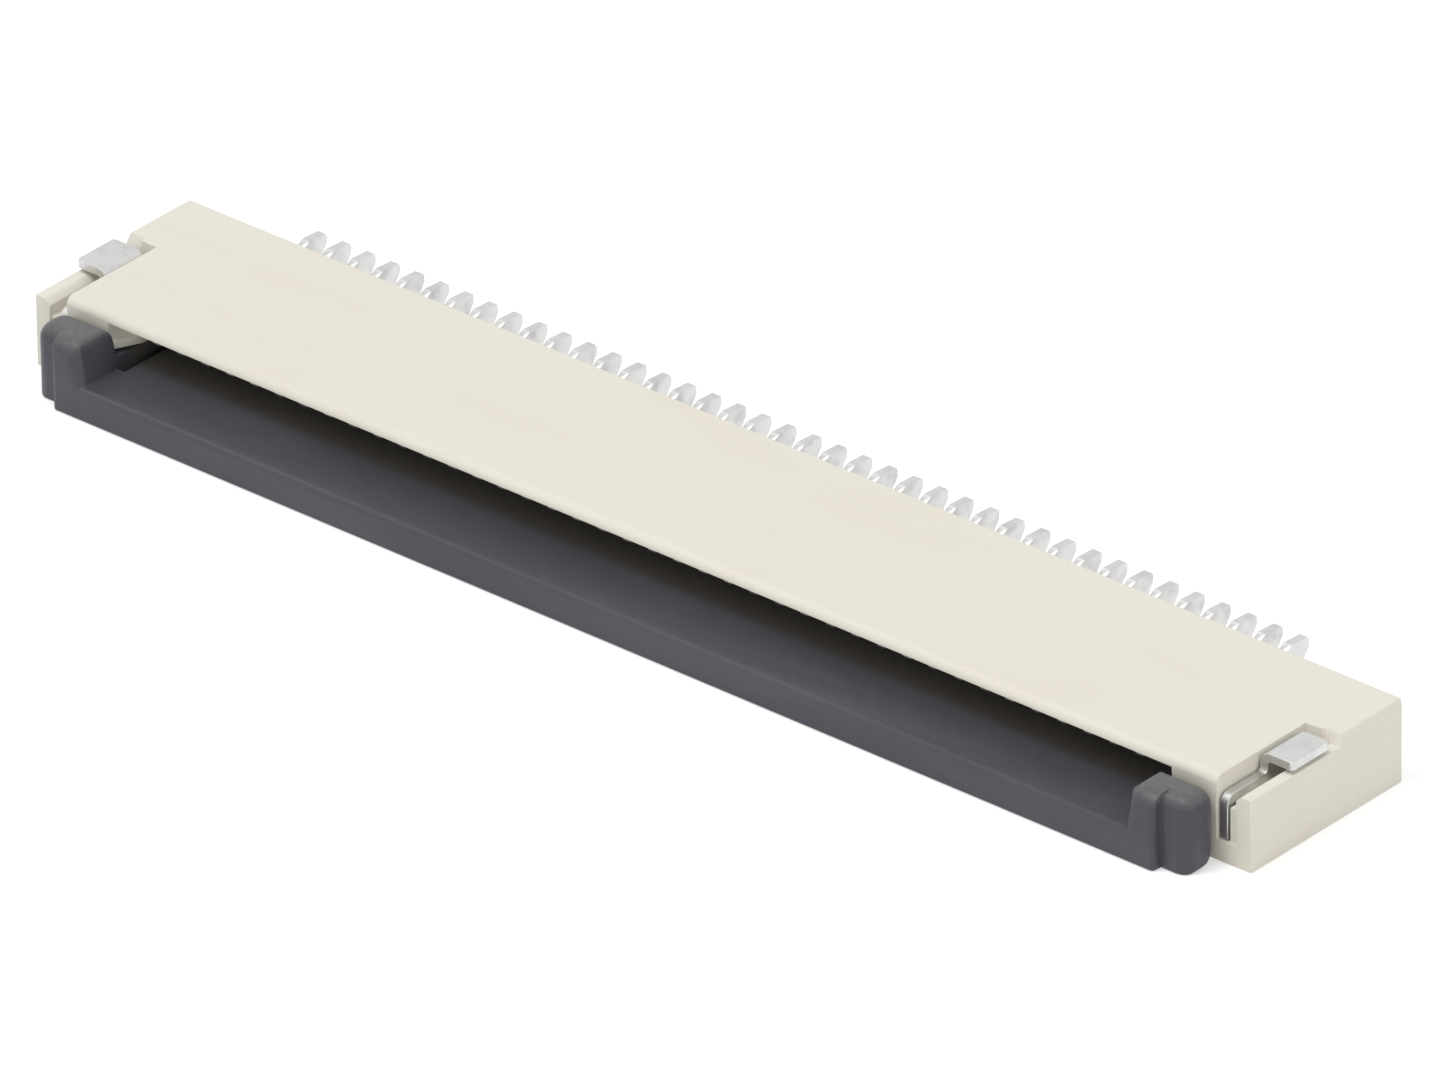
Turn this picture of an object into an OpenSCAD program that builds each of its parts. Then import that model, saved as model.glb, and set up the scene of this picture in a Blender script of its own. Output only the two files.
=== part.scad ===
// Slide-lock connector for a flat flexible cable: one moulded housing, one sliding lock,
// a row of stamped contacts and two solder nails.
// It lies on its lid, so the board side with the solder faces looks up.
// X runs along the row of contacts, Y from the slider at the front to the solder tails at
// the rear, and Z up. The origin is the middle of the footprint, on the outside of the lid.
// The modules measure Y from the rear face of the housing, and place() moves them home.

/* [Cable mouth] */
// Number of contacts
contact_count = 40; // [10:1:50]
// Distance from one contact to the next
pitch = 0.5; // [0.45:0.05:0.8]
// Room beside each edge of the cable
cable_play = 0.05; // [0.02:0.01:0.1]
// Height of the gap between the tongue and the board wall, which takes the cable
cable_gap = 0.42; // [0.36:0.01:0.6]
// Depth of the funnel at each side of the mouth
funnel_d = 0.5; // [0.3:0.05:0.6]
// How far the funnel widens the mouth at each side
funnel_w = 0.24; // [0.1:0.02:0.3]
// Depth of the slope under the front edge of the board wall
slope_d = 0.4; // [0.2:0.05:0.6]
// Height of the slope under the front edge of the board wall
slope_h = 0.29; // [0.1:0.01:0.29]

/* [Housing] */
// Depth from the front face to the rear face
housing_d = 3.5; // [3.2:0.05:4.5]
// Thickness of the lid
lid_t = 0.34; // [0.28:0.01:0.45]
// Lid left under the contact grooves
lid_skin = 0.12; // [0.08:0.01:0.16]
// Thickness of the board wall
board_wall_t = 0.45; // [0.38:0.01:0.6]
// Board wall left over the contact grooves
board_skin = 0.2; // [0.14:0.01:0.24]
// Thickness of the rear wall
rear_wall_t = 0.9; // [0.7:0.05:1.1]
// Thickness of each end wall, between the slider rail and the nail slot
end_wall_t = 0.42; // [0.3:0.01:0.6]
// Thickness of the arm outside each nail slot
arm_t = 0.29; // [0.2:0.01:0.4]
// Bevel along the inner upper edge of the arm
arm_bevel = 0.1; // [0.03:0.01:0.15]
// Depth of the full-height block behind each arm
block_d = 1.45; // [1.25:0.05:1.7]
// Slope at the foot of that block, towards the arm
block_slope = 0.12; // [0.05:0.01:0.2]
// Floor left under each nail slot
slot_floor_t = 0.36; // [0.25:0.01:0.4]
// Round along the front edge of the board wall
front_round = 0.15; // [0.1:0.01:0.18]
// Round on the upright corners
corner_round = 0.02; // [0.02:0.01:0.15]
// Width of the bevel along the upper edge of each end
end_bevel = 0.03; // [0.02:0.01:0.12]
// Height of that bevel
end_bevel_h = 0.16; // [0.06:0.01:0.2]

/* [Slider] */
// How far the slider draws out to free the cable
travel = 1; // [0.6:0.05:1.1]
// Running clearance round the slider
slide_play = 0.05; // [0.03:0.01:0.08]
// Gap left between the closed slider and the housing
closing_gap = 0.03; // [0.02:0.01:0.1]
// Depth of the bar in front of the housing
bar_d = 0.87; // [0.76:0.01:1.2]
// How high the bar clears the surface that the lid lies on
bar_lift = 0.01; // [0.01:0.01:0.06]
// Thickness of the tongue
tongue_t = 0.16; // [0.12:0.01:0.24]
// Thickness of the tongue at its tip
tongue_tip_t = 0.07; // [0.05:0.01:0.1]
// Length of the wedge at the tip of the tongue
wedge_l = 0.6; // [0.3:0.05:0.9]
// Reach of the tongue behind the front face of the housing
tongue_reach = 2; // [1.6:0.05:2.2]
// Reach of the two rails behind the front face of the housing
rail_reach = 2; // [1.8:0.05:2.3]
// Width of each rail
rail_w = 0.57; // [0.4:0.01:0.7]
// Height of each rail
rail_h = 0.34; // [0.25:0.01:0.42]
// How far each rail stands back from the edge of the mouth
rail_inset = 0.06; // [0.02:0.01:0.12]
// Slit between the tongue and each rail
rail_slit = 0.16; // [0.15:0.01:0.25]
// How far the hook stands out from its rail
hook_out = 0.13; // [0.08:0.01:0.14]
// Length of the hook
hook_l = 0.3; // [0.2:0.02:0.4]
// Height of the ears above the underside of the bar
ear_h = 1.25; // [0.9:0.01:1.3]
// How far each ear reaches inward past its rail
ear_over = 0.03; // [0:0.01:0.2]
// How far the inner side of the ear leans outward
ear_lean = 0.13; // [0.03:0.01:0.25]
// How far each ear reaches outward past the line of the nail slot
ear_past = 0.05; // [0:0.01:0.12]
// Round on the outer, front and rear upper edges and the outer upright edges of each ear
ear_round = 0.27; // [0.1:0.01:0.3]
// Round on the inner front edge of each ear
cheek_round = 0.19; // [0.05:0.01:0.22]
// Width of the end portions that stand back from the lip
end_step_w = 0.53; // [0.3:0.01:0.65]
// How far the end portions stand back from the lip
end_step_d = 0.18; // [0.1:0.01:0.3]
// Round on the upright front corners of the lip
lip_round = 0.08; // [0.05:0.01:0.2]
// Round on the rear lower edge of the bar and ears
heel_round = 0.5; // [0.1:0.01:0.5]
// Round on the smaller edges of the bar and ears
bar_round = 0.1; // [0.05:0.01:0.14]
// Round on the front lower edge
foot_round = 0.03; // [0.01:0.01:0.08]

/* [Contacts] */
// Thickness of the contact sheet
contact_t = 0.15; // [0.1:0.01:0.18]
// Clearance of a contact in its slot
contact_play = 0.02; // [0.01:0.005:0.03]
// How far the contact point stands into the cable gap
bump_h = 0.1; // [0.05:0.01:0.12]
// Length of each flank of the contact point
bump_l = 0.3; // [0.25:0.01:0.4]
// Distance of the contact point from the rear face
bump_y = 2.2; // [1.9:0.05:2.5]
// Gap between the tip of the spring beam and the front face
beam_inset = 0.2; // [0.1:0.01:0.3]
// Height of the spring beam at its tip
beam_tip_h = 0.12; // [0.08:0.01:0.14]
// Round at the tips of both beams
beam_round = 0.05; // [0.02:0.01:0.055]
// Round in the corners of the contact
contact_round = 0.08; // [0.04:0.01:0.09]
// Reach of the lid beam from the rear face
lid_beam_reach = 2.3; // [1.8:0.05:2.8]
// Gap between the upright web of the contact and the rear face
web_inset = 0.08; // [0.04:0.01:0.15]
// How far the solder tail stands out behind the housing
tail_reach = 0.55; // [0.45:0.05:0.8]
// Height of the solder tail
tail_h = 0.38; // [0.34:0.01:0.44]
// Height of the upright end of the tail
tail_nose = 0.17; // [0.15:0.01:0.24]
// How far the end of the tail is undercut below that
tail_rake = 0.13; // [0.05:0.01:0.18]
// How far the solder face drops towards the end of the tail
tail_droop = 0.02; // [0:0.01:0.05]
// Length of the slope on which the tail rises behind the rear face
tail_lead = 0.14; // [0.08:0.01:0.2]
// How far below the board wall that slope begins
tail_dip = 0.04; // [0.02:0.01:0.08]
// How far the solder faces stand above the board wall
solder_proud = 0.03; // [0.01:0.01:0.06]

/* [Solder nails] */
// Thickness of the nail sheet
nail_t = 0.15; // [0.12:0.01:0.2]
// Clearance of a nail on its seats
nail_play = 0.02; // [0.01:0.005:0.03]
// Gap between a nail and the walls beside it
nail_gap = 0.03; // [0.02:0.01:0.1]
// Room between the upper part of a nail and the arm
arm_gap = 0.18; // [0.1:0.01:0.25]
// Height of the ledge that fills the lower part of that room
ledge_h = 0.58; // [0.4:0.01:0.66]
// How far the ledge stands back from the front face
ledge_inset = 0.05; // [0.04:0.01:0.2]
// Gap between the solder tab and the top of the arm
tab_lift = 0.07; // [0.03:0.01:0.12]
// Length of the solder tab along the housing
tab_l = 0.85; // [0.7:0.05:1]
// Gap between the solder tab and the block behind it
tab_gap = 0.25; // [0.1:0.01:0.3]
// Round on the corners of the solder tab
tab_round = 0.06; // [0.02:0.01:0.12]
// Inner radius of the bend
bend_r = 0.06; // [0.03:0.01:0.1]
// Height of the web in front of the tab
nail_web_h = 0.76; // [0.6:0.01:0.8]
// Gap between the nail and the front face
nail_inset = 0.03; // [0.02:0.01:0.15]
// Round on the upper front corner of the web
nail_round = 0.17; // [0.05:0.01:0.25]
// Fillet between the web and the front of the tab
tab_fillet = 0.08; // [0.03:0.01:0.1]
// Length of the root that is pressed into the block
root_l = 0.45; // [0.3:0.05:0.7]
// Height of that root
root_h = 0.45; // [0.3:0.01:0.55]

/* [Hidden] */
$fn = 48;
eps = 0.05;
function contact_name(i) = str("contact_", i < 10 ? "0" : "", i);

// Places along X, for the half at +X
contact_half = (contact_count - 1) * pitch / 2;
mouth_half = contact_half + pitch + cable_play;
rail_in = mouth_half + rail_inset;
rail_out = rail_in + rail_w;
channel_half = rail_out + slide_play;
recess_half = rail_out + hook_out + slide_play;
slot_in = channel_half + end_wall_t;
nail_in = slot_in + nail_gap;
nail_out = nail_in + nail_t;
arm_in = nail_out + arm_gap;
housing_half = arm_in + arm_t;
tongue_half = rail_in - rail_slit;
ear_out = slot_in + ear_past;
lip_half = ear_out - end_step_w;
ear_foot = rail_in - ear_over;
ear_in = ear_foot + ear_lean;

// Levels above the outside of the lid
tongue_low = lid_t + slide_play;
tongue_top = tongue_low + tongue_t;
rail_top = tongue_low + rail_h;
channel_top = rail_top + slide_play;
board_low = tongue_top + cable_gap;
housing_h = board_low + board_wall_t;
groove_top = housing_h - board_skin;
solder_z = housing_h + solder_proud;
tab_low = solder_z - nail_t;
arm_top = tab_low - tab_lift;
ear_top = bar_lift + ear_h;
web_low = slot_floor_t + nail_play;
web_top = slot_floor_t + nail_web_h;
root_low = slot_floor_t + (nail_web_h - root_h) / 2;

// Places along Y, from the rear face at 0 towards the front at -housing_d
front = -housing_d;
bar_rear = front - closing_gap;
lip_front = bar_rear - bar_d;
end_front = lip_front + end_step_d;
tongue_tip = front + tongue_reach;
rail_tip = front + rail_reach;
channel_rear = rail_tip + slide_play;
hook_front = rail_tip - hook_l;
recess_front = hook_front - travel - closing_gap;
beam_tip = front + beam_inset;
tab_rear = -block_d - tab_gap;
tab_front = tab_rear - tab_l;
nail_front = front + nail_inset;
nail_root = -block_d + root_l;
footprint_mid = (tail_reach + lip_front) / 2;

// A corner with its two tangent points, its radius, its centre, and whether it is convex
function unit(v) = v / norm(v);
function corner(before, at, after, r) =
    let (a = unit(before - at), b = unit(after - at), half = acos(a * b) / 2)
    r == 0 ? [[at], 0, at, true]
           : [[at + a * r / tan(half), at + b * r / tan(half)], r,
              at + unit(a + b) * r / sin(half), cross(at - before, after - at) > 0];

// Outline with rounded corners. The points run counter-clockwise, each with its radius third.
module rounded(points) {
    n = len(points);
    flat = [for (p = points) [p[0], p[1]]];
    corners = [for (i = [0:n - 1])
        corner(flat[(i + n - 1) % n], flat[i], flat[(i + 1) % n], points[i][2])];
    difference() {
        union() {
            polygon([for (c = corners) each c[0]]);
            for (c = corners) if (c[1] > 0 && c[3]) translate(c[2]) circle(c[1]);
        }
        for (c = corners) if (c[1] > 0 && !c[3]) translate(c[2]) circle(c[1]);
    }
}

// A flat outline drawn out between two places along one axis
module along_x(x0, x1) {
    translate([x0, 0, 0]) rotate([90, 0, 90]) linear_extrude(x1 - x0) children();
}
module along_y(y0, y1) {
    translate([0, y1, 0]) rotate([90, 0, 0]) linear_extrude(y1 - y0) children();
}
module along_z(z0, z1) {
    translate([0, 0, z0]) linear_extrude(z1 - z0) children();
}
module span(low, high) {
    translate(low) square(high - low);
}
module both_ends() {
    children();
    mirror([1, 0, 0]) children();
}
module place() {
    translate([0, -footprint_mid, 0]) children();
}

module housing() {
    color([0.91, 0.89, 0.83]) place() difference() {
        housing_block();
        mouth();
        for (i = [1:contact_count]) contact_slot(i);
        both_ends() {
            rail_channel();
            nail_slot();
            arm_drop();
        }
    }
}

// The outside of the housing, from its plan, its side view and its front view
module housing_block() {
    intersection() {
        along_z(0, housing_h) rounded([
            [-housing_half, front, corner_round],
            [housing_half, front, corner_round],
            [housing_half, 0, corner_round],
            [-housing_half, 0, corner_round]]);
        along_x(-housing_half - eps, housing_half + eps) rounded([
            [front, 0, 0],
            [0, 0, 0],
            [0, housing_h, 0],
            [front, housing_h, front_round]]);
        along_y(front - eps, eps) polygon([
            [-housing_half, 0],
            [housing_half, 0],
            [housing_half, housing_h - end_bevel_h],
            [housing_half - end_bevel, housing_h],
            [end_bevel - housing_half, housing_h],
            [-housing_half, housing_h - end_bevel_h]]);
    }
}

// The space for the tongue and the cable, with the funnel at its front
module mouth() {
    wide = mouth_half + funnel_w;
    along_x(-mouth_half, mouth_half)
        span([front - eps, lid_t], [-rear_wall_t, board_low]);
    along_z(lid_t, board_low) polygon([
        [-wide, front - eps],
        [wide, front - eps],
        [wide, front],
        [mouth_half, front + funnel_d],
        [-mouth_half, front + funnel_d],
        [-wide, front]]);
    along_x(-wide, wide) polygon([
        [front - eps, board_low - eps],
        [front + slope_d, board_low - eps],
        [front + slope_d, board_low],
        [front, board_low + slope_h],
        [front - eps, board_low + slope_h]]);
}

// One contact's slot: through the rear wall, along the board wall and along the lid
module contact_slot(i) {
    half = contact_t / 2 + contact_play;
    x = (i - (contact_count + 1) / 2) * pitch;
    along_x(x - half, x + half) {
        span([-rear_wall_t - eps, lid_skin], [eps, groove_top]);
        span([beam_tip - contact_play, board_low - eps], [-rear_wall_t, groove_top]);
        span([-lid_beam_reach - contact_play, lid_skin], [-rear_wall_t, lid_t + eps]);
    }
}

// The channel that guides a rail, with the recess that stops its hook
module rail_channel() {
    along_z(lid_t, channel_top) {
        span([mouth_half - eps, front - eps], [channel_half, channel_rear]);
        span([rail_out, recess_front], [recess_half, channel_rear]);
    }
}

// The slot that takes a nail, with the pocket for its root
module nail_slot() {
    along_x(slot_in, nail_out + nail_gap)
        span([front - eps, slot_floor_t], [-block_d, housing_h + eps]);
    along_x(nail_out, arm_in) {
        span([front - eps, slot_floor_t], [front + ledge_inset, housing_h + eps]);
        span([front - eps, slot_floor_t + ledge_h], [-block_d, housing_h + eps]);
    }
    along_x(nail_in - nail_play, nail_out + nail_play)
        span([-block_d - eps, root_low - nail_play],
             [nail_root + nail_play, root_low + root_h + nail_play]);
}

// The arm lies lower than the board wall, under the solder tab
module arm_drop() {
    along_x(arm_in - eps, housing_half + eps) polygon([
        [front - eps, arm_top],
        [-block_d, arm_top],
        [-block_d + block_slope, housing_h + eps],
        [front - eps, housing_h + eps]]);
    along_y(front - eps, -block_d) polygon([
        [arm_in - eps, arm_top - arm_bevel - eps],
        [arm_in + arm_bevel + eps, arm_top + eps],
        [arm_in - eps, arm_top + eps]]);
}

module slider() {
    color([0.2, 0.2, 0.22]) place() {
        bar();
        tongue();
        both_ends() {
            ear(lip_half, lip_front, lip_round);
            difference() {
                ear(ear_out, end_front, ear_round);
                ear_corners();
            }
            rail();
        }
    }
}

// The bar from ear to ear, low enough for the cable to pass over it
module bar() {
    along_x(-ear_foot - cheek_round, ear_foot + cheek_round) difference() {
        rounded([
            [lip_front, bar_lift, foot_round],
            [bar_rear, bar_lift, 0],
            [bar_rear, tongue_top, 0],
            [lip_front, tongue_top, bar_round]]);
        heel();
    }
}

// What the round on the rear lower edge takes away
module heel() {
    difference() {
        span([bar_rear - heel_round, bar_lift - eps], [bar_rear + eps, bar_lift + heel_round]);
        translate([bar_rear - heel_round, bar_lift + heel_round]) circle(heel_round);
    }
}

// The ear at +X from its three views, cut to one outer side and one front line
module ear(half, front_line, upright_round) {
    intersection() {
        along_x(ear_foot - eps, ear_out + eps) difference() {
            rounded([
                [front_line, bar_lift, foot_round],
                [bar_rear, bar_lift, 0],
                [bar_rear, ear_top, ear_round],
                [front_line, ear_top, ear_round]]);
            heel();
        }
        along_y(front_line - eps, bar_rear + eps) rounded([
            [ear_foot, bar_lift, 0],
            [ear_out, bar_lift, bar_round],
            [ear_out, ear_top, ear_round],
            [ear_in, ear_top, bar_round],
            [ear_foot, tongue_top, 0]]);
        along_z(0, ear_top + eps) rounded([
            [ear_foot, front_line, 0],
            [half, front_line, upright_round],
            [half, bar_rear, ear_round],
            [ear_foot, bar_rear, 0]]);
        cheek(front_line);
    }
}

// What the balls at the two outer upper corners of the ear take away
module ear_corners() {
    x = ear_out - ear_round;
    z = ear_top - ear_round;
    difference() {
        along_z(z, ear_top + eps) {
            span([x, end_front - eps], [ear_out + eps, end_front + ear_round]);
            span([x, bar_rear - ear_round], [ear_out + eps, bar_rear + eps]);
        }
        for (y = [end_front + ear_round, bar_rear - ear_round])
            translate([x, y, z]) sphere(ear_round);
    }
}

// All that lies outside the leaning inner side of the ear, with a round along its front edge
module cheek(front_line) {
    wide = 2 * (ear_out - ear_foot);
    translate([ear_foot, 0, tongue_top]) rotate([0, atan(ear_lean / (ear_top - tongue_top)), 0])
        along_z(-ear_h, ear_h) rounded([
            [0, front_line, cheek_round],
            [wide, front_line, 0],
            [wide, bar_rear, 0],
            [0, bar_rear, 0]]);
}

// The tongue that presses the cable against the contacts, with a wedge at its tip
module tongue() {
    along_x(-tongue_half, tongue_half) polygon([
        [bar_rear - eps, tongue_low],
        [tongue_tip, tongue_low],
        [tongue_tip, tongue_low + tongue_tip_t],
        [tongue_tip - wedge_l, tongue_top],
        [bar_rear - eps, tongue_top]]);
}

// A springy rail that guides the slider and hooks behind the housing's stop
module rail() {
    along_z(tongue_low, rail_top) polygon([
        [rail_in, bar_rear - eps],
        [rail_out, bar_rear - eps],
        [rail_out, hook_front],
        [rail_out + hook_out, hook_front],
        [rail_out + hook_out, rail_tip - hook_l / 2],
        [rail_out - hook_out, rail_tip],
        [rail_in, rail_tip]]);
}

// A stamped contact: solder tail, upright web, spring beam under the board wall, lid beam
module contact(i) {
    x = (i - (contact_count + 1) / 2) * pitch;
    color([0.8, 0.8, 0.79]) place()
        along_x(x - contact_t / 2, x + contact_t / 2) contact_outline();
}

module contact_outline() {
    low = lid_skin + contact_play;
    lid_beam_top = lid_t - contact_play;
    high = groove_top - contact_play;
    beam_low = board_low + contact_play;
    root_low = board_low - contact_play;
    tip_high = high - contact_play;
    web_front = -rear_wall_t + contact_play;
    web_rear = -web_inset;
    tail_root = contact_play;
    tail_end_z = solder_z - tail_droop;
    edge_round = contact_round / 2;
    rounded([
        [-lid_beam_reach, low, beam_round],
        [web_rear, low, edge_round],
        [web_rear, root_low, edge_round],
        [tail_reach - tail_rake, solder_z - tail_h, edge_round],
        [tail_reach, tail_end_z - tail_nose, edge_round],
        [tail_reach, tail_end_z, contact_round],
        [tail_lead, solder_z, edge_round],
        [tail_root, housing_h - tail_dip, 0],
        [tail_root, high, 0],
        [web_front, high, 0],
        [-bump_y, beam_low + beam_tip_h, 0],
        [beam_tip, tip_high, beam_round],
        [beam_tip, tip_high - beam_tip_h, beam_round],
        [-bump_y - bump_l, beam_low, contact_round],
        [-bump_y, board_low - bump_h, contact_round],
        [-bump_y + bump_l, beam_low, contact_round],
        [web_front, root_low, contact_round],
        [web_front, lid_beam_top, contact_round],
        [-lid_beam_reach, lid_beam_top, beam_round]]);
}

module fitting_nail_right() {
    color([0.8, 0.8, 0.79]) place() nail();
}

module fitting_nail_left() {
    color([0.8, 0.8, 0.79]) place() mirror([1, 0, 0]) nail();
}

// A nail: an upright web in the slot, a root in the block, and a tab bent out over the arm
module nail() {
    along_x(nail_in, nail_out) {
        rounded([
            [nail_front, web_low, 0],
            [-block_d - nail_play, web_low, 0],
            [-block_d - nail_play, web_top, 0],
            [nail_front, web_top, nail_round]]);
        span([-block_d - eps, root_low], [nail_root, root_low + root_h]);
        difference() {
            span([tab_front - tab_fillet, web_top - eps], [tab_front + eps, web_top + tab_fillet]);
            translate([tab_front - tab_fillet, web_top + tab_fillet]) circle(tab_fillet);
        }
    }
    intersection() {
        along_y(tab_front, tab_rear) difference() {
            bend_side(nail_in, housing_half, web_top - eps, solder_z, bend_r + nail_t);
            bend_side(nail_out, housing_half + eps, web_top - 2 * eps, tab_low, bend_r);
        }
        along_z(web_low, solder_z + eps) rounded([
            [nail_in - eps, tab_front, 0],
            [housing_half, tab_front, tab_round],
            [housing_half, tab_rear, tab_round],
            [nail_in - eps, tab_rear, 0]]);
    }
}

// All that lies under one side of the bent sheet
module bend_side(x0, x1, z0, z1, r) {
    rounded([[x0, z0, 0], [x1, z0, 0], [x1, z1, 0], [x0, z1, r]]);
}

housing();
slider();
fitting_nail_left();
fitting_nail_right();
for (i = [1:contact_count]) contact(i);
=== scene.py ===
"""Looks of a flat cable connector with a sliding lock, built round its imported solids.

Every piece is a cleaned and edge-rounded copy of its solid, in metres, in the solids' own frame.
"""

from math import radians

import bmesh
import bpy
from mathutils import Matrix, Vector


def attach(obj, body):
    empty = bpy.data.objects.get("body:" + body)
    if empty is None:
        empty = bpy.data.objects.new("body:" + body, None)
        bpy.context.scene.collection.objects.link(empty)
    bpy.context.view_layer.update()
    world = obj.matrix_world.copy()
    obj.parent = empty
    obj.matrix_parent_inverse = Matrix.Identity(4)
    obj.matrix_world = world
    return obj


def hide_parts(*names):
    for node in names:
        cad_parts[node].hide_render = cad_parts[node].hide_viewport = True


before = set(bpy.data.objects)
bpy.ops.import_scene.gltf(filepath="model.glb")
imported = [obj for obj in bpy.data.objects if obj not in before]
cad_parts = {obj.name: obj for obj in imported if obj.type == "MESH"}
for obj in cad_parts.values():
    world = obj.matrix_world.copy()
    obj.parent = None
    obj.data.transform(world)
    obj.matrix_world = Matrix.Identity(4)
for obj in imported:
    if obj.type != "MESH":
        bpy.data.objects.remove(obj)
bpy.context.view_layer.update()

bl_info = {
    "name": "Flat Cable Connector Looks",
    "version": (1, 0, 0),
    "blender": (4, 5, 0),
    "location": "3D View > Sidebar > Connector",
    "description": "Rounds the edges of a flat cable connector and gives its pieces their finishes",
    "category": "Object",
}

MM = 0.001
CONTACTS = sorted(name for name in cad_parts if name.startswith("contact_"))
NAILS = ("fitting_nail_left", "fitting_nail_right")

# Limits for cleaning and rounding the solids, with lengths in millimetres
SAME_POINT = 0.0005  # points of a solid this near each other are one
SAME_PLANE = radians(1.0)  # faces that turn less than this are one
SHARP_TURN = radians(30.0)  # an edge that turns more than this gets a round
CREASE_TURN = radians(40.0)  # a rounded piece is shaded smooth over turns below this
FOLD_TURN = radians(140.0)  # a round that turns more than this has folded over
FOLD_REACH = 0.05  # edges this near a fold stay sharp
ROUND_TRIES = 8
SLIDER_WELD = 0.012  # steps of the slider's solid this short are closed, as no round fits them
ROUND_WELD = 0.0003  # points this near each other after the rounds are one
MOULDED_STEPS = 2  # faces across a round
STAMPED_STEPS = 1

# Where light is painted on the slider, in millimetres: painted sheen on the ear tops grows with
# height, and painted bounce light on the tongue in the mouth's shade grows with depth, each from
# the first value to the second
EAR_SHEEN_HEIGHTS = (1.06, 1.24)
TONGUE_BOUNCE_DEPTHS = (-1.5, -1.1)

# Sockets of a Mix node that mixes colours
MIX_FACTOR, MIX_A, MIX_B = 0, 6, 7
MIX_RESULT = 2

WHITE = (1.0, 1.0, 1.0)
SENSOR_WIDTH = 36.0  # millimetres
CAMERA_CLIP = 0.02  # metres


# Sizes and colours

def length(name, description, default):
    """A length that a user may change, in metres."""
    return bpy.props.FloatProperty(
        name=name, description=description, default=default, min=0.0, precision=6,
        subtype="DISTANCE", unit="LENGTH")


def position(name, description, default):
    """A place that a user may change, in metres."""
    return bpy.props.FloatVectorProperty(
        name=name, description=description, default=default, size=3, precision=5,
        subtype="TRANSLATION", unit="LENGTH")


def angle(name, description, degrees):
    """A turn that a user may change, given here in degrees."""
    return bpy.props.FloatProperty(
        name=name, description=description, default=radians(degrees),
        subtype="ANGLE", unit="ROTATION")


def colour(name, description, default):
    """A colour that a user may change, as linear red, green and blue."""
    return bpy.props.FloatVectorProperty(
        name=name, description=description, default=default, size=3, min=0.0, max=1.0,
        subtype="COLOR")


def share(name, description, default):
    """A number from nothing to all."""
    return bpy.props.FloatProperty(
        name=name, description=description, default=default, min=0.0, max=1.0,
        subtype="FACTOR")


def strength(name, description, default):
    """How bright a light is."""
    return bpy.props.FloatProperty(
        name=name, description=description, default=default, min=0.0)


class ConnectorFinish(bpy.types.PropertyGroup):
    """Edge rounds and colours of the pieces."""

    housing_edge: length("Housing edge", "Round on the moulded edges of the housing", 0.014 * MM)
    slider_edge: length("Slider edge", "Round on the moulded edges of the slider", 0.018 * MM)
    metal_edge: length("Metal edge", "Round on the stamped edges of contacts and nails", 0.009 * MM)
    ivory: colour("Ivory", "Body colour of the housing resin", (0.84, 0.805, 0.71))
    ivory_warm: colour("Warm ivory", "Colour of the flow marks in the housing", (0.81, 0.765, 0.65))
    black: colour("Blue-black", "Body colour of the slider resin", (0.071, 0.075, 0.09))
    black_flow: colour(
        "Flow marks", "Colour of the flow marks in the slider", (0.092, 0.096, 0.112))
    # Painted sheen: a paler colour on the ear tops stands in for the light they catch
    black_painted_sheen: colour(
        "Black with painted sheen", "Colour painted on the tops of the ears for the sheen they catch",
        (0.145, 0.145, 0.143))
    # Painted bounce light: a paler, warmer colour on the tongue in the mouth's shade stands in for
    # light bounced in there
    black_painted_bounce: colour(
        "Black with painted bounce light", "Colour painted on the tongue in the mouth's shade, for light bounced in",
        (0.13, 0.118, 0.108))
    tin: colour("Tin", "Colour of the tin plating", (0.68, 0.68, 0.67))
    tin_dull: colour("Dull tin", "Colour of the duller patches of the plating", (0.55, 0.55, 0.545))


class ConnectorStage(bpy.types.PropertyGroup):
    """Camera, light and floor."""

    camera_place: position("Camera place", "Where the camera stands", (0.18052, -0.20576, 0.15562))
    azimuth: angle("Azimuth", "Turn of the camera about the upright axis", 41.196)
    elevation: angle("Elevation", "Height of the camera above the level view", 29.528)
    roll: angle("Roll", "Turn of the camera about its own line of sight", -0.761)
    lens: bpy.props.FloatProperty(
        name="Lens", description="Focal length on a 36 mm wide frame", default=523.55,
        subtype="DISTANCE_CAMERA")
    sky: strength("Sky", "Brightness of the even light from all round", 0.62)
    key: strength("Key lamp", "Power of the lamp overhead, in watts", 0.57)
    key_size: length("Key lamp size", "Side of the lamp overhead", 0.12)
    key_place: position("Key lamp place", "Where the lamp overhead is", (-0.08, -0.14, 0.4))
    fill: strength("Fill lamp", "Power of the lamp on the right, in watts", 0.18)
    fill_size: length("Fill lamp size", "Side of the lamp on the right", 0.3)
    fill_place: position("Fill lamp place", "Where the lamp on the right is", (0.3, -0.06, 0.18))
    floor: colour("Floor", "Colour of the floor", (0.85, 0.85, 0.85))
    floor_size: length("Floor size", "From the middle of the floor to its sides", 1.5)
    floor_glow: share(
        "Floor glow", "White that the floor adds in view, so that it blends with the sky", 0.4)


# Shader maths

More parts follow.
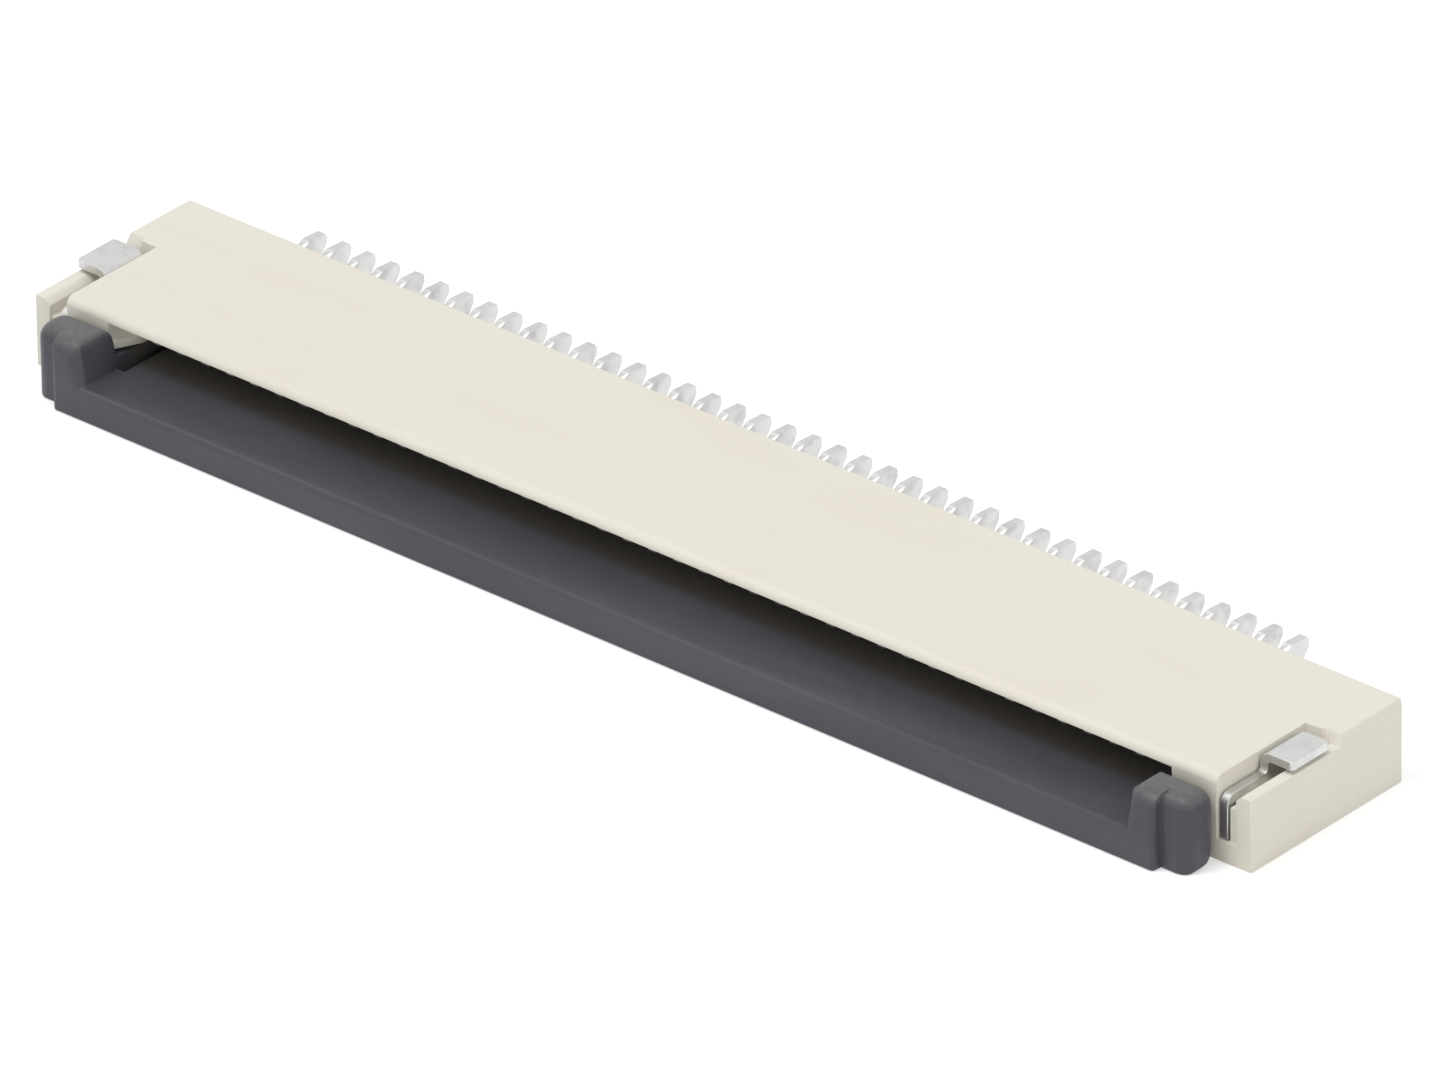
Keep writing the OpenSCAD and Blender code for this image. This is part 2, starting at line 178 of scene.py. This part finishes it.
class Value:
    """One output of a shader's node; an expression on it adds Math nodes."""

    def __init__(self, finish, socket):
        self.finish = finish
        self.socket = socket

    def maths(self, operation, other):
        return self.finish.node("ShaderNodeMath", {"operation": operation}, {0: self, 1: other})

    def __add__(self, other):
        return self.maths("ADD", other)

    def __mul__(self, other):
        return self.maths("MULTIPLY", other)

    def __or__(self, other):
        return self.maths("MAXIMUM", other)

    __radd__ = __add__
    __rmul__ = __mul__
    __ror__ = __or__

    def between(self, low, high):
        """0 below low, 1 above high, and a soft step between."""
        return self.finish.node(
            "ShaderNodeMapRange", {"interpolation_type": "SMOOTHSTEP"},
            {"Value": self, "From Min": low, "From Max": high})


class Finish:
    """The nodes of a material or a world, while they are being put together."""

    def __init__(self, owner):
        owner.use_nodes = True
        self.owner = owner
        self.tree = owner.node_tree
        self.tree.nodes.clear()

    def node(self, kind, settings=None, values=None, output=0):
        """Adds one node, with its settings and the values or links of its sockets."""
        made = self.tree.nodes.new(kind)
        for name, setting in (settings or {}).items():
            setattr(made, name, setting)
        for name, value in (values or {}).items():
            if isinstance(value, Value):
                self.tree.links.new(value.socket, made.inputs[name])
            else:
                made.inputs[name].default_value = value
        return Value(self, made.outputs[output]) if made.outputs else None

    def millimetres(self, x=1.0, y=1.0):
        """Places on the piece in millimetres, drawn out along an axis with a small share."""
        place = self.node("ShaderNodeTexCoord", output="Object")
        return self.node(
            "ShaderNodeMapping", {"vector_type": "POINT"},
            {"Vector": place, "Scale": (x / MM, y / MM, 1.0 / MM)})

    def noise(self, place, scale, detail, distortion=0.0):
        """Cloudy noise from 0 to 1, with so many clouds to the millimetre."""
        return self.node(
            "ShaderNodeTexNoise", {"noise_dimensions": "3D"},
            {"Vector": place, "Scale": scale, "Detail": detail, "Distortion": distortion})

    def mix(self, factor, a, b):
        """The colour a where the factor is 0, and b where it is 1."""
        return self.node(
            "ShaderNodeMix", {"data_type": "RGBA"},
            {MIX_FACTOR: factor, MIX_A: a, MIX_B: b}, output=MIX_RESULT)

    def bump(self, height, strength, depth):
        """A normal that follows a height, with its depth in millimetres."""
        return self.node("ShaderNodeBump", values={
            "Strength": strength, "Distance": depth * MM, "Height": height})

    def surface(self, **values):
        """Ends the material in one Principled shader."""
        shader = self.node("ShaderNodeBsdfPrincipled", values={
            name.replace("_", " "): value for name, value in values.items()})
        self.node("ShaderNodeOutputMaterial", values={"Surface": shader})
        return self.owner


def opaque(rgb):
    """A colour with its alpha, as sockets take it."""
    return (*rgb, 1.0)


def in_view(finish):
    """1 for what the camera sees straight on, in metal or through glass, and 0 for light."""
    camera, glossy, through = (
        finish.node("ShaderNodeLightPath", output=name)
        for name in ("Is Camera Ray", "Is Glossy Ray", "Is Transmission Ray"))
    return camera | glossy | through


def ivory_resin(look):
    """Glass-filled ivory resin: fine matt skin, warm flow marks and a few fibres."""
    finish = Finish(bpy.data.materials.new("ivory_resin"))
    flow = finish.noise(finish.millimetres(x=0.25), scale=0.9, detail=3.0, distortion=0.6)
    grain = finish.noise(finish.millimetres(), scale=16.0, detail=3.0)
    fibres = finish.noise(finish.millimetres(x=0.3), scale=22.0, detail=1.0)
    warm = flow.between(0.42, 0.72) * 0.55 + grain.between(0.45, 0.75) * 0.2
    return finish.surface(
        Base_Color=finish.mix(warm, opaque(look.ivory), opaque(look.ivory_warm)),
        Roughness=grain * 0.16 + 0.5,
        Specular_IOR_Level=0.4,
        Normal=finish.bump(grain * 0.7 + fibres * 0.3, strength=0.35, depth=0.006))


def black_resin(look):
    """Blue-black resin with a satin skin and faint flow marks, with painted sheen on the ear tops
    and painted bounce light on the tongue in the mouth's shade.
    """
    finish = Finish(bpy.data.materials.new("black_resin"))
    place = finish.millimetres()
    height = finish.node("ShaderNodeSeparateXYZ", values={"Vector": place}, output="Z")
    depth = finish.node("ShaderNodeSeparateXYZ", values={"Vector": place}, output="Y")
    flow = finish.noise(finish.millimetres(x=0.2), scale=1.1, detail=3.0, distortion=0.8)
    grain = finish.noise(place, scale=14.0, detail=3.0)
    marks = flow.between(0.4, 0.75) * 0.7 + grain.between(0.5, 0.8) * 0.3
    # Painted sheen: the ear tops are painted paler with height, standing in for the light they
    # catch
    painted_sheen = height.between(*EAR_SHEEN_HEIGHTS) * (grain.between(0.25, 0.7) * 0.4 + 0.6)
    # Painted bounce light: the tongue is painted paler and warmer deep in the mouth, where it lies
    # in shade
    painted_bounce = depth.between(*TONGUE_BOUNCE_DEPTHS) * (flow * 0.4 + 0.8)
    body = finish.mix(marks, opaque(look.black), opaque(look.black_flow))
    skin = finish.mix(painted_sheen, body, opaque(look.black_painted_sheen))
    return finish.surface(
        Base_Color=finish.mix(painted_bounce, skin, opaque(look.black_painted_bounce)),
        Roughness=grain * 0.16 + 0.32,
        Specular_IOR_Level=0.28,
        Normal=finish.bump(grain, strength=0.4, depth=0.007))


def tinned_metal(look):
    """Matt tin plating on stamped sheet, with fine rolling lines and duller patches."""
    finish = Finish(bpy.data.materials.new("tinned_metal"))
    lines = finish.noise(finish.millimetres(y=0.08), scale=40.0, detail=2.0)
    patches = finish.noise(finish.millimetres(), scale=3.5, detail=3.0)
    crystals = finish.noise(finish.millimetres(), scale=30.0, detail=2.0)
    dull = patches.between(0.4, 0.75) * 0.7 + crystals * 0.3
    return finish.surface(
        Base_Color=finish.mix(dull, opaque(look.tin), opaque(look.tin_dull)),
        Metallic=1.0,
        Roughness=dull * 0.18 + 0.3,
        Normal=finish.bump(lines * 0.6 + crystals * 0.4, strength=0.25, depth=0.003))


# Pieces

def middle(edge):
    """The middle of an edge."""
    return (edge.verts[0].co + edge.verts[1].co) / 2


def turns(edge, limit):
    """Whether two faces meet at an edge and turn there by more than a limit."""
    return edge.is_manifold and edge.calc_face_angle() > limit


def bevelled(node, edge, steps, weld, spots):
    """A merged copy of a solid, in millimetres, with rounds on its sharp edges.

    Steps as short as the weld are closed first. An edge beside one of the spots gets no round.
    """
    bm = bmesh.new()
    bm.from_mesh(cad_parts[node].data)
    bmesh.ops.scale(bm, vec=Vector((1 / MM,) * 3), verts=bm.verts)
    bmesh.ops.remove_doubles(bm, verts=bm.verts, dist=SAME_POINT)
    bmesh.ops.dissolve_limit(
        bm, angle_limit=SAME_PLANE, use_dissolve_boundaries=False, verts=bm.verts, edges=bm.edges)
    if weld:
        bmesh.ops.remove_doubles(bm, verts=bm.verts, dist=weld)
        bmesh.ops.dissolve_degenerate(bm, dist=weld / 2, edges=bm.edges)
    sharp = [
        e for e in bm.edges if turns(e, SHARP_TURN)
        and not any((middle(e) - spot).length < FOLD_REACH for spot in spots)]
    bmesh.ops.bevel(
        bm, geom=sharp, offset=edge, offset_type="OFFSET", affect="EDGES", segments=steps,
        profile=0.5, material=-1, clamp_overlap=False, loop_slide=True)
    if weld:
        bmesh.ops.remove_doubles(bm, verts=bm.verts, dist=ROUND_WELD)
    return bm


def rounded_copy(node, name, edge, steps, weld=0.0):
    """A copy of a solid with its sharp edges rounded.

    An edge stays sharp where its round would fold over.
    """
    spots = []
    for _ in range(ROUND_TRIES):
        bm = bevelled(node, edge / MM, steps, weld, spots)
        folds = [middle(e) for e in bm.edges if turns(e, FOLD_TURN)]
        if not folds:
            break
        spots += folds
        bm.free()
    else:
        raise RuntimeError("The edges of " + node + " can't be rounded without folds")
    bmesh.ops.scale(bm, vec=Vector((MM,) * 3), verts=bm.verts)
    for face in bm.faces:
        face.smooth = True
    for e in bm.edges:
        e.smooth = not e.is_manifold or e.calc_face_angle() < CREASE_TURN
    mesh = bpy.data.meshes.new(name)
    bm.to_mesh(mesh)
    bm.free()
    stored = mesh.attributes.get("custom_normal")
    if stored:
        mesh.attributes.remove(stored)
    mesh.materials.clear()
    piece = bpy.data.objects.new(name, mesh)
    bpy.context.scene.collection.objects.link(piece)
    flats = piece.modifiers.new("Flat faces", "WEIGHTED_NORMAL")
    flats.keep_sharp = True
    return piece


def fit(piece, node, body, material):
    """Sets a piece in its solid's place, on its body and with its finish."""
    piece.data.materials.append(material)
    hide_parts(node)
    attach(piece, body)


class CONNECTOR_OT_housing(bpy.types.Operator):
    """Make the moulded housing"""

    bl_idname = "connector.housing"
    bl_label = "Housing"

    def execute(self, context):
        look = context.scene.connector_finish
        piece = rounded_copy("housing", "housing_moulding", look.housing_edge, MOULDED_STEPS)
        fit(piece, "housing", "housing", ivory_resin(look))
        return {"FINISHED"}


class CONNECTOR_OT_slider(bpy.types.Operator):
    """Make the sliding lock"""

    bl_idname = "connector.slider"
    bl_label = "Slider"

    def execute(self, context):
        look = context.scene.connector_finish
        piece = rounded_copy(
            "slider", "slider_moulding", look.slider_edge, MOULDED_STEPS, weld=SLIDER_WELD)
        fit(piece, "slider", "slider", black_resin(look))
        return {"FINISHED"}


class CONNECTOR_OT_metal(bpy.types.Operator):
    """Make the contacts and the solder nails"""

    bl_idname = "connector.metal"
    bl_label = "Contacts and nails"

    def execute(self, context):
        look = context.scene.connector_finish
        material = tinned_metal(look)
        for node in (*CONTACTS, *NAILS):
            piece = rounded_copy(node, node + "_stamping", look.metal_edge, STAMPED_STEPS)
            fit(piece, node, "housing", material)
        return {"FINISHED"}


class CONNECTOR_OT_stage(bpy.types.Operator):
    """Make the floor, the light and the camera"""

    bl_idname = "connector.stage"
    bl_label = "Stage"

    def execute(self, context):
        scene = context.scene
        stage = scene.connector_stage
        self.make_floor(scene, stage)
        self.make_sky(scene, stage)
        self.make_lamp(scene, "key_lamp", stage.key, stage.key_size, stage.key_place)
        self.make_lamp(scene, "fill_lamp", stage.fill, stage.fill_size, stage.fill_place)
        self.make_camera(scene, stage)
        scene.view_settings.view_transform = "Standard"
        return {"FINISHED"}

    def make_floor(self, scene, stage):
        bm = bmesh.new()
        bmesh.ops.create_grid(bm, x_segments=1, y_segments=1, size=stage.floor_size)
        mesh = bpy.data.meshes.new("floor")
        bm.to_mesh(mesh)
        bm.free()
        floor = bpy.data.objects.new("floor", mesh)
        scene.collection.objects.link(floor)
        finish = Finish(bpy.data.materials.new("floor_paper"))
        paper = finish.node("ShaderNodeBsdfDiffuse", values={"Color": opaque(stage.floor)})
        glow = finish.node("ShaderNodeEmission", values={
            "Strength": in_view(finish) * stage.floor_glow})
        both = finish.node("ShaderNodeAddShader", values={0: paper, 1: glow})
        finish.node("ShaderNodeOutputMaterial", values={"Surface": both})
        mesh.materials.append(finish.owner)

    def make_sky(self, scene, stage):
        scene.world = bpy.data.worlds.new("sky")
        finish = Finish(scene.world)
        level = in_view(finish) * (1.0 - stage.sky) + stage.sky
        light = finish.node("ShaderNodeBackground", values={
            "Color": opaque(WHITE), "Strength": level})
        finish.node("ShaderNodeOutputWorld", values={"Surface": light})

    def make_lamp(self, scene, name, power, size, place):
        """Adds a square lamp that faces the part."""
        lamp = bpy.data.lights.new(name, "AREA")
        lamp.energy = power
        lamp.size = size
        made = bpy.data.objects.new(name, lamp)
        made.location = place
        made.rotation_euler = Vector(place).to_track_quat("Z", "Y").to_euler()
        scene.collection.objects.link(made)

    def make_camera(self, scene, stage):
        camera = bpy.data.cameras.new("camera")
        camera.sensor_fit = "HORIZONTAL"
        camera.sensor_width = SENSOR_WIDTH
        camera.lens = stage.lens
        camera.clip_start = CAMERA_CLIP
        made = bpy.data.objects.new("camera", camera)
        made.matrix_world = (
            Matrix.Translation(stage.camera_place)
            @ Matrix.Rotation(stage.azimuth, 4, "Z")
            @ Matrix.Rotation(radians(90.0) - stage.elevation, 4, "X")
            @ Matrix.Rotation(stage.roll, 4, "Z"))
        scene.collection.objects.link(made)
        scene.camera = made


class CONNECTOR_PT_looks(bpy.types.Panel):
    """Makes the pieces and lists their sizes and colours"""

    bl_idname = "CONNECTOR_PT_looks"
    bl_label = "Connector"
    bl_space_type = "VIEW_3D"
    bl_region_type = "UI"
    bl_category = "Connector"

    def draw(self, context):
        for operator in OPERATORS:
            self.layout.operator(operator.bl_idname)
        for group in (context.scene.connector_finish, context.scene.connector_stage):
            box = self.layout.box()
            for name in group.__annotations__:
                box.prop(group, name)


OPERATORS = (CONNECTOR_OT_housing, CONNECTOR_OT_slider, CONNECTOR_OT_metal, CONNECTOR_OT_stage)
CLASSES = (ConnectorFinish, ConnectorStage, *OPERATORS, CONNECTOR_PT_looks)


def register():
    for cls in CLASSES:
        bpy.utils.register_class(cls)
    bpy.types.Scene.connector_finish = bpy.props.PointerProperty(type=ConnectorFinish)
    bpy.types.Scene.connector_stage = bpy.props.PointerProperty(type=ConnectorStage)


def unregister():
    del bpy.types.Scene.connector_stage
    del bpy.types.Scene.connector_finish
    for cls in reversed(CLASSES):
        bpy.utils.unregister_class(cls)


def main():
    register()
    bpy.ops.connector.housing()
    bpy.ops.connector.slider()
    bpy.ops.connector.metal()
    bpy.ops.connector.stage()


if __name__ == "__main__":
    main()
